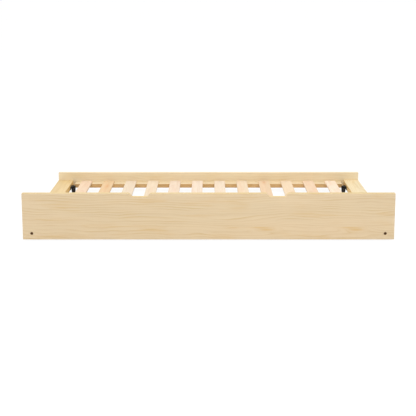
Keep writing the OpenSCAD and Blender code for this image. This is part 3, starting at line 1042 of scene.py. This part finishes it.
@dataclass
class Bearers:
    """The boards that carry the slats: end beams, ledges and middle rail."""

    layout: Layout
    corner: float = 0.0028
    ease: float = 0.0020
    nut_bore_radius: float = 0.0051
    nut_bore_top: float = 0.009
    screw_bore_radius: float = 0.0043
    screw_bore_depth: float = 0.027
    pith_beside_beam: float = 0.93
    # Each side's board tone, then the painted_shading_tone of faces square to X: painted light on
    # the left beam's faces, painted shade on the right beam's
    beam_tones_and_shading: dict[Side, tuple[Colour, Colour]] = field(default_factory=lambda: {
        Side.LEFT: ((0.886, 0.865, 0.674), (1.2, 1.1, 0.86)),
        Side.RIGHT: ((1.023, 1.116, 1.116), (1.08, 0.92, 0.64)),
    })

    def lay(
        self, node: str, blank: Blank, finish: PineFinish, holes: tuple[Hole, ...] = ()
    ) -> None:
        """Makes one board with its holes and its finish."""
        board = Board(blank.outline(self.corner), blank, self.ease, holes)
        Look.of_pine(finish).settle(board.shell(), node)

    def beam(self, side: Side) -> None:
        """One end beam, with the barrel nuts' holes in its lower face."""
        node = f"{side.name.lower()}_end_beam"
        blank = Blank.lying(node)
        low = blank.place.origin[2] - blank.thickness
        steps = bevelled(self.nut_bore_radius, self.layout.bolt_z() + self.nut_bore_top - low)
        x, y = side.value * self.layout.bolt_x(), self.layout.nut_y()
        holes = tuple(Hole((x, end.value * y), steps, from_back=True) for end in End)
        # the second tint is painted light and shade on the beam's faces square to X
        tone, painted_shading_tone = self.beam_tones_and_shading[side]
        finish = PineFinish(
            f"{side.name.lower()}_beam_pine", tone=tone, side=Axis.X, painted_shading_tone=painted_shading_tone,
            grain=Axis.Y, across=Axis.X, taper=0.015, seed=3.0 + side.value,
            pith=(side.value * self.pith_beside_beam + 0.02, 0.02),
        )
        self.lay(node, blank, finish, holes)

    def ledge(self, end: End) -> None:
        """One ledge, with the counterbores of its screws in its inner face."""
        node = f"{end.name.lower()}_ledge"
        steps = bevelled(self.screw_bore_radius, self.screw_bore_depth)
        z = self.layout.height("ledge_screws")
        holes = tuple(Hole((x, z), steps) for x in self.layout.ledge_screw_xs())
        # painted shade: faces square to Y, the inner face in the nook under the slats, are darker
        # and warmer
        finish = PineFinish(
            f"{node}_pine", tone=(0.957, 1.026, 1.041), side=Axis.Y,
            painted_shading_tone=(0.906, 0.710, 0.482), taper=0.01, seed=6.0 + end.value,
            pith=(0.0, 0.5 * end.value - 0.1),
        )
        self.lay(node, Blank.upright(node, End(-end.value)), finish, holes)

    def build(self) -> None:
        """Makes the beams, the ledges and the rail under the slats' middles."""
        for side in Side:
            self.beam(side)
        for end in End:
            self.ledge(end)
        finish = PineFinish("middle_rail_pine", across=Axis.Y, pith=(0.03, 0.0), seed=9.0)
        self.lay("middle_rail", Blank.lying("middle_rail"), finish)


@dataclass
class SlatDeck:
    """The slats, each a little different in colour and grain."""

    layout: Layout
    corner: float = 0.003
    ease: float = 0.0013
    ease_steps: int = 4
    head_radius: float = 0.0036
    head_depth: float = 0.0024
    bore_radius: float = 0.00185
    bore_facets: int = 20
    tones: tuple[Colour, ...] = (
        (0.853, 0.766, 0.697), (0.796, 0.675, 0.497), (0.792, 0.794, 0.772),
        (0.825, 0.804, 0.749), (0.829, 0.797, 0.788), (0.842, 0.831, 0.843),
        (0.832, 0.817, 0.803), (0.838, 0.812, 0.750), (0.807, 0.732, 0.631),
        (0.857, 0.814, 0.730), (0.849, 0.759, 0.682), (0.958, 0.917, 0.924),
    )
    blushes: tuple[float, ...] = (0.1, 0.5, 0.1, 0.1, 0.2, 0.0, 0.05, 0.3, 0.4, 0.1, 0.1, 0.05)
    knots: dict[int, tuple[float, float, float]] = field(default_factory=lambda: {
        1: (0.32, 0.050, 0.5), 4: (-0.21, 0.040, 0.4), 8: (0.41, 0.060, 0.45),
        10: (0.02, 0.045, 0.4),
    })
    halo_half: float = 0.013
    knot_halves: tuple[float, float] = (0.007, 0.0045)
    knot_depth: float = 0.8
    knot_sway: float = 0.006

    def knots_of(self, i: int, middle: float) -> tuple[Knot, ...]:
        """A small knot and the darker grain around it, where slat i has one."""
        if i not in self.knots:
            return ()
        along, half, depth = self.knots[i]
        side = middle + self.knot_sway * math.cos(i)
        return (
            Knot(along, side, half, self.halo_half, depth),
            Knot(along, side, *self.knot_halves, self.knot_depth),
        )

    def build(self) -> None:
        """Makes each slat with its two countersunk holes."""
        y = self.layout.slat_screw_y()
        for i, middle in enumerate(self.layout.slat_middles()):
            node = f"slat_{i + 1:02d}"
            blank = Blank.lying(node)
            steps = (
                (self.head_radius, 0.0), (self.bore_radius, self.head_depth),
                (self.bore_radius, blank.thickness),
            )
            holes = tuple(
                Hole((middle, end.value * y), steps, facets=self.bore_facets) for end in End
            )
            board = Board(blank.outline(self.corner), blank, self.ease, holes, self.ease_steps)
            finish = PineFinish(
                f"{node}_pine", early=(0.93, 0.79, 0.62), late=(0.80, 0.52, 0.32),
                contrast=0.34, roughness=0.62, lacquer=0.0, grain=Axis.Y, across=Axis.X,
                pith=(middle + 0.02 * math.sin(2.3 * i), 0.02 + 0.03 * math.cos(1.7 * i)),
                taper=0.01 + 0.004 * math.sin(i), seed=12.0 + i, tone=self.tones[i],
                blush=self.blushes[i], flame=(0.84, 0.47, 0.25),
                knots=self.knots_of(i, middle),
            )
            Look.of_pine(finish, "slat_pine").settle(board.shell(), node)


@dataclass(frozen=True)
class Corner:
    """One corner of the bed, where a caster stands."""

    side: Side
    end: End

    @property
    def name(self) -> str:
        """The corner's name, as the frame's nodes have it."""
        return f"{self.end.name.lower()}_{self.side.name.lower()}"

    @property
    def middle(self) -> Array:
        """The middle of the corner's wheel."""
        low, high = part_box(f"{self.name}_tyre")
        return np.array((low + high) / 2)

    def halves(self, part: str) -> Array:
        """Half the sizes of one of the caster's parts."""
        low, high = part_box(f"{self.name}_{part}")
        return (np.array(high) - np.array(low)) / 2


@dataclass
class Casters:
    """The four fixed casters: bent bracket, riveted axle, ribbed hub and tyre."""

    steel: float = 0.002
    bend: float = 0.003
    point_gap: float = 0.0015
    leg_radius: float = 0.009
    leg_top_half: float = 0.014
    flange_height: float = 0.022
    flange_corner: float = 0.005
    fork_gap: float = 0.0192
    edge: float = 0.0005
    weld: float = 0.0013
    weld_run: float = 0.9
    weld_ripple: float = 0.12
    weld_waves: float = 2600
    tyre_edge: float = 0.0024
    tyre_groove: float = 0.0006
    tyre_groove_place: float = 0.42
    rim_thickness: float = 0.004
    rim_inset: float = 0.001
    web_half: float = 0.0035
    boss_radius: float = 0.008
    bore_radius: float = 0.00308
    axle_radius: float = 0.003
    rivet_height: float = 0.0016
    weld_facets: int = 14
    axle_facets: int = 40
    hub_facets: int = 96
    tyre_facets: int = 112
    fillet_steps: int = 4
    ribs: int = 6
    rib_sink: float = 0.001
    rib_rise: float = 0.0028
    rib_thickness: float = 0.0016
    rib_edge: float = 0.0004

    def bracket(self, corner: Corner, look: Look) -> None:
        """The bracket: inner leg, web and flange bent from one strip, and a welded outer leg."""
        node = f"{corner.name}_bracket"
        middle = corner.middle
        low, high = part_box(node)
        near, beam = sorted(corner.side.value * (x - middle[0]) for x in (low.x, high.x))
        web = high.z - middle[2] - self.steel / 2
        flange_low = high.z - middle[2] - self.flange_height
        leg_x, flange_x = near + self.steel / 2, beam - self.steel / 2
        outer_x = self.fork_gap / 2 + self.steel / 2
        shell = Shell()
        line, normals = bent_line(
            [(leg_x, -self.leg_radius), (leg_x, web), (flange_x, web), (flange_x, flange_low)],
            self.bend, self.point_gap,
        )
        half = corner.halves("bracket")[1]
        widths = self._strip_widths(line, (leg_x, flange_x), (flange_low, web), half)
        self._strip(shell, corner, line, normals, widths)
        line, normals = bent_line(
            [(outer_x, -self.leg_radius), (outer_x, web)], self.bend, self.point_gap
        )
        self._strip(shell, corner, line, normals, self._leg_widths(line[:, 1], web))
        for step in (-1, 1):
            x = outer_x + step * self.steel / 2
            self._weld(shell, middle + [corner.side.value * x, 0.0, web - self.steel / 2])
        look.settle(shell, node)

    def _leg_widths(self, heights: Array, web: float) -> Array:
        """Half widths of a leg: a half circle round the axle, then a straight taper."""
        foot = np.sqrt(np.maximum(self.leg_radius**2 - np.minimum(heights, 0) ** 2, 1e-6))
        share = np.clip(heights / web, 0, 1)
        taper = self.leg_radius + share * (self.leg_top_half - self.leg_radius)
        return np.where(heights < 0, foot, taper)

    def _strip_widths(
        self, line: Array, xs: tuple[float, float], heights: tuple[float, float], half: float
    ) -> Array:
        """Half widths of the bent strip: leg, web, flare, then the flange's round corners.

        Args:
            line: the strip's line, out from the wheel and up.
            xs: the middles of the leg's steel and of the flange's.
            heights: the flange's lower end and the web's middle.
            half: the flange's half width.

        Returns:
            A half width for each point of the line.
        """
        (leg_x, flange_x), (flange_low, web) = xs, heights
        outer = self.fork_gap / 2 + self.steel
        flare = np.clip((line[:, 0] - outer) / (flange_x - outer), 0, 1)
        widths = self._leg_widths(line[:, 1], web) + (half - self.leg_top_half) * flare
        left = np.clip(self.flange_corner - (line[:, 1] - flange_low), 0, self.flange_corner)
        corner = self.flange_corner - np.sqrt(self.flange_corner**2 - left**2)
        past = line[:, 0] > (leg_x + flange_x) / 2
        return np.where(past, half - corner, widths)

    def _strip(
        self, shell: Shell, corner: Corner, line: Array, normals: Array, widths: Array
    ) -> None:
        """Sweeps steel of the bracket's thickness along a line in the wheel's X-Z plane.

        Args:
            shell: the bracket's shell so far.
            corner: the caster's corner.
            line: (n, 2) points, out from the wheel and up.
            normals: their unit normals.
            widths: half the strip's width at each point.
        """
        flat = np.zeros(len(line))
        path, across = (
            np.column_stack([rows[:, 0] * corner.side.value, flat, rows[:, 1]])
            for rows in (line, normals)
        )
        sweep_bar(
            shell, corner.middle + path, across, widths, Axis.Y.unit(), self.steel, self.edge
        )

    def _weld(self, shell: Shell, place: Array) -> None:
        """A bead of weld under the web: a round bar whose radius ripples along it."""
        half = self.leg_top_half * self.weld_run
        along = np.linspace(-half, half, 49)
        fade = np.sqrt(np.clip(1.02 - (along / half) ** 8, 0.02, 1))
        radius = self.weld * (1 + self.weld_ripple * np.cos(along * self.weld_waves)) * fade
        bead = np.column_stack([along, radius])
        profile = np.concatenate([[[-half, 0.0]], bead, [[half, 0.0]]])
        lathe(shell, profile, place, Axis.Y.unit(), self.weld_facets)

    def axle(self, corner: Corner, look: Look) -> None:
        """The axle with a domed rivet head on each leg."""
        half, _, head = corner.halves("axle")
        inner = half - self.rivet_height
        a = np.radians(np.linspace(90, 12, 8))
        dome = np.column_stack([
            inner + self.rivet_height * np.sin(a),
            head * (0.15 + 0.85 * np.cos(a * 0.98) ** 0.6),
        ])
        neck = [[inner, head * 0.98], [inner, self.axle_radius]]
        top = np.concatenate([[[half, 0.0]], dome, neck])
        shell = Shell()
        profile = np.concatenate([top, (top * [-1, 1])[::-1]])
        lathe(shell, profile, corner.middle, Axis.X.unit(), self.axle_facets)
        look.settle(shell, f"{corner.name}_axle")

    def hub(self, corner: Corner, look: Look) -> None:
        """The hub: a filleted section turned round the axle, with ribs from boss to rim."""
        boss, _, rim = corner.halves("hub")
        rim_half = corner.halves("tyre")[0] - self.rim_inset
        inner, web = rim - self.rim_thickness, self.web_half
        upper = [
            (self.bore_radius, boss, 0.0005),
            (self.boss_radius, boss, 0.0008), (self.boss_radius, web, 0.0018),
            (inner, web, 0.0018), (inner, rim_half, 0.0007), (rim, rim_half, 0.0005),
        ]
        section = upper + [(r, -x, fillet) for r, x, fillet in upper[::-1]]
        outline = Outline.filleted(section[::-1], self.fillet_steps)
        shell = Shell()
        points = outline.points[:, ::-1]
        lathe(shell, points, corner.middle, Axis.X.unit(), self.hub_facets, ring=True)
        self._add_ribs(shell, corner.middle, inner, web)
        look.settle(shell, f"{corner.name}_hub", f"{corner.name}_wheel")

    def _add_ribs(self, shell: Shell, middle: Array, inner: float, web: float) -> None:
        """Thin ribs that stand on both sides of the web, even round the wheel."""
        reach = np.linspace(self.boss_radius - self.rib_sink, inner + self.rib_sink, 6)
        widths = np.full(len(reach), web + self.rib_rise)
        for t in np.linspace(0, 2 * np.pi, self.ribs, endpoint=False):
            out = np.array([0.0, math.cos(t), math.sin(t)])
            beside = np.array([[0.0, -math.sin(t), math.cos(t)]])
            normals = np.repeat(beside, len(reach), axis=0)
            path = middle + reach[:, None] * out
            sweep_bar(
                shell, path, normals, widths, Axis.X.unit(), self.rib_thickness, self.rib_edge
            )

    def tyre(self, corner: Corner, look: Look) -> None:
        """The tyre: round shoulders and two fine grooves round its tread."""
        half, _, radius = corner.halves("tyre")
        inner = corner.halves("hub")[2]
        groove = self.tyre_groove
        corners = [(-half, inner, 0.0004), (half, inner, 0.0004), (half, radius, self.tyre_edge)]
        for x in (half * self.tyre_groove_place, -half * self.tyre_groove_place):
            corners += [
                (x + 2 * groove, radius, 0.0002), (x + groove, radius - groove, 0.0002),
                (x - groove, radius - groove, 0.0002), (x - 2 * groove, radius, 0.0002),
            ]
        corners.append((-half, radius, self.tyre_edge))
        outline = Outline.filleted(corners, self.fillet_steps)
        shell = Shell()
        lathe(shell, outline.points, corner.middle, Axis.X.unit(), self.tyre_facets, ring=True)
        look.settle(shell, f"{corner.name}_tyre", f"{corner.name}_wheel")

    def build(self) -> None:
        """Makes all four casters."""
        paint = MetalFinish(
            "black_powder_coat", (0.005, 0.0045, 0.0045), (0.022, 0.021, 0.021), metallic=0.0,
            roughness=0.5, scratch=0.06, grit=0.00008, specular=0.25,
        )
        nylon = MouldedFinish("black_nylon", (0.008, 0.008, 0.008), (0.06, 0.06, 0.06), 0.08, 0.36)
        rubber = MouldedFinish(
            "black_rubber", (0.006, 0.0055, 0.0055), (0.10, 0.09, 0.085), 0.12, 0.42
        )
        makers = (
            (self.bracket, Look("steel", "black_steel", paint.material())),
            (self.axle, Look("steel", "zinc_steel", MetalFinish("axle_zinc").material())),
            (self.hub, Look("nylon", "black_nylon", nylon.material())),
            (self.tyre, Look("rubber", "black_rubber", rubber.material())),
        )
        for end in End:
            for side in Side:
                for make, look in makers:
                    make(Corner(side, end), look)


@dataclass
class Fastenings:
    """Bolts, nuts, dowels, screws and steel angles."""

    steel: float = 0.002
    bend: float = 0.0025
    point_gap: float = 0.002
    edge: float = 0.0005

    def dress(self, nodes: dict[str, bpy.types.Object]) -> None:
        """Gives the fastenings that keep their frame meshes their finishes.

        Args:
            nodes: the frame's objects by node name.
        """
        brown = MetalFinish(
            "brown_bolt", (0.085, 0.034, 0.008), (0.14, 0.068, 0.026), metallic=0.0,
            roughness=0.5, scratch=0.1, specular=0.3,
        )
        zinc = MetalFinish("screw_zinc", (0.62, 0.63, 0.65), (0.76, 0.75, 0.70))
        beech = PineFinish(
            "dowel_beech", early=(0.60, 0.40, 0.22), late=(0.42, 0.25, 0.12), pitch=0.0012,
            grain=Axis.Y, across=Axis.X, lacquer=0.0, roughness=0.6, seed=30.0,
        )
        screws = [f"{kind}_screws" for kind in ("ledge", "slat", "caster", "angle")]
        groups = (
            (brown, "brown_steel", ["corner_bolts"]), (beech, "dowel_beech", ["locating_dowels"]),
            (zinc, "zinc_steel", ["barrel_nuts"] + screws),
        )
        for finish, slot, names in groups:
            material = finish.material()
            for name in names:
                node = nodes[name]
                node.data.materials.clear()
                node.data.materials.append(material)
                log.info("%s: frame mesh, %s", name, material.name)

    def angle(self, side: Side, look: Look) -> None:
        """One steel angle: a strip bent once, standing on edge in the corner of two boards."""
        node = f"{side.name.lower()}_rail_angle"
        low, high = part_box(node)
        far_x, beam_x = sorted((low.x, high.x), key=abs)
        t = self.steel / 2
        inner_x = beam_x - side.value * t
        line, normals = bent_line(
            [(far_x, low.y + t), (inner_x, low.y + t), (inner_x, high.y)],
            self.bend, self.point_gap,
        )
        path = np.column_stack([line, np.full(len(line), (low.z + high.z) / 2)])
        across = np.column_stack([normals, np.zeros(len(line))])
        half = np.full(len(line), (high.z - low.z) / 2)
        shell = Shell()
        sweep_bar(shell, path, across, half, Axis.Z.unit(), self.steel, self.edge)
        look.settle(shell, node)

    def build(self, nodes: dict[str, bpy.types.Object]) -> None:
        """Dresses the frame's fastenings and makes the angles."""
        self.dress(nodes)
        zinc = MetalFinish("angle_zinc", worn=(0.74, 0.74, 0.70)).material()
        for side in Side:
            self.angle(side, Look("steel", "zinc_steel", zinc))


# ------------------------------------------------------------------ stage


@dataclass(frozen=True)
class Studio:
    """A pale floor, soft light from above and a bright surround."""

    floor_size: float = 400.0
    floor_colour: Colour = (0.93, 0.92, 0.90)
    floor_glow: float = 0.93
    floor_shade: float = 0.13
    sky: float = 0.62
    key_power: float = 130.0
    lamp_size: float = 4.0
    key_place: tuple[float, float, float] = (0.15, -1.4, 4.0)
    fill_power: float = 45.0
    fill_place: tuple[float, float, float] = (-1.2, 3.0, 3.0)

    def build(self) -> None:
        """Makes the surround, the floor and both lamps."""
        bpy.context.scene.view_settings.view_transform = "Standard"
        self.surround()
        self.floor()
        self.lamp("key", self.key_place, self.lamp_size, self.key_power)
        self.lamp("fill", self.fill_place, self.lamp_size, self.fill_power)

    def surround(self) -> None:
        """A white surround that lights the bed less than it shows."""
        world = bpy.data.worlds.new("surround")
        world.use_nodes = True
        tree = world.node_tree
        background = tree.nodes["Background"]
        background.inputs["Color"].default_value = (*WHITE, 1.0)
        seen = tree.nodes.new("ShaderNodeLightPath").outputs["Is Camera Ray"]
        level = tree.nodes.new("ShaderNodeMapRange")
        level.inputs["To Min"].default_value = self.sky
        level.inputs["To Max"].default_value = 1.0
        tree.links.new(seen, level.inputs["Value"])
        tree.links.new(level.outputs["Result"], background.inputs["Strength"])
        bpy.context.scene.world = world

    def floor(self) -> None:
        """A white floor that shows only a faint shadow."""
        half = self.floor_size / 2
        shell = Shell()
        corners = [(-half, -half, 0.0), (half, -half, 0.0), (half, half, 0.0), (-half, half, 0.0)]
        shell.add_points(np.array(corners))
        shell.add_faces([[0, 1, 2, 3]], smooth=False)
        g = Graph("studio_floor")
        seen = g.node("ShaderNodeLightPath").outputs["Is Camera Ray"]
        shade = g.span(seen, 0, 1, 1.0, self.floor_shade)
        g.surface({
            "Base Color": g.tinted(self.floor_colour, shade), "Roughness": 0.9,
            "Specular IOR Level": 0.0, "Emission Color": (*WHITE, 1.0),
            "Emission Strength": g.times(seen, self.floor_glow),
        })
        shell.piece("studio_floor", g.material)

    @staticmethod
    def lamp(name: str, place: tuple[float, float, float], size: float, power: float) -> None:
        """A square lamp that points at the bed's middle."""
        data = bpy.data.lights.new(name, "AREA")
        data.size = size
        data.energy = power
        lamp = bpy.data.objects.new(name, data)
        lamp.location = place
        lamp.rotation_euler = (-Vector(place)).to_track_quat("-Z", "Y").to_euler()
        bpy.context.scene.collection.objects.link(lamp)


@dataclass(frozen=True)
class ViewPoint:
    """The camera: straight on to the front panel, from chest height and tilted a little down."""

    distance: float = 3.774
    height: float = 1.387
    pitch: float = 8.22
    lens: float = 64.6
    rise: float = -0.30
    aside: float = -0.0012

    def build(self) -> None:
        """Makes the camera and sets it as the scene's."""
        data = bpy.data.cameras.new("front_view")
        data.lens = self.lens
        data.shift_y = self.rise
        data.shift_x = self.aside
        camera = bpy.data.objects.new("front_view", data)
        low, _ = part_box("front_panel")
        camera.location = (0.0, low.y - self.distance, self.height)
        camera.rotation_euler = (math.radians(90 - self.pitch), 0.0, 0.0)
        bpy.context.scene.collection.objects.link(camera)
        bpy.context.scene.camera = camera


def main() -> None:
    """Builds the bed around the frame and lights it."""
    logging.basicConfig(level=logging.INFO, format="%(name)s: %(message)s")
    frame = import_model()
    openings = {o["name"]: o["box_m"] for o in frame["record"]["physics"]["openings"]}
    layout = Layout()
    BedEnds(layout).build(openings)
    Bearers(layout).build()
    SlatDeck(layout).build()
    Casters().build()
    Fastenings().build(frame["nodes"])
    Studio().build()
    ViewPoint().build()


if __name__ == "__main__":
    main()
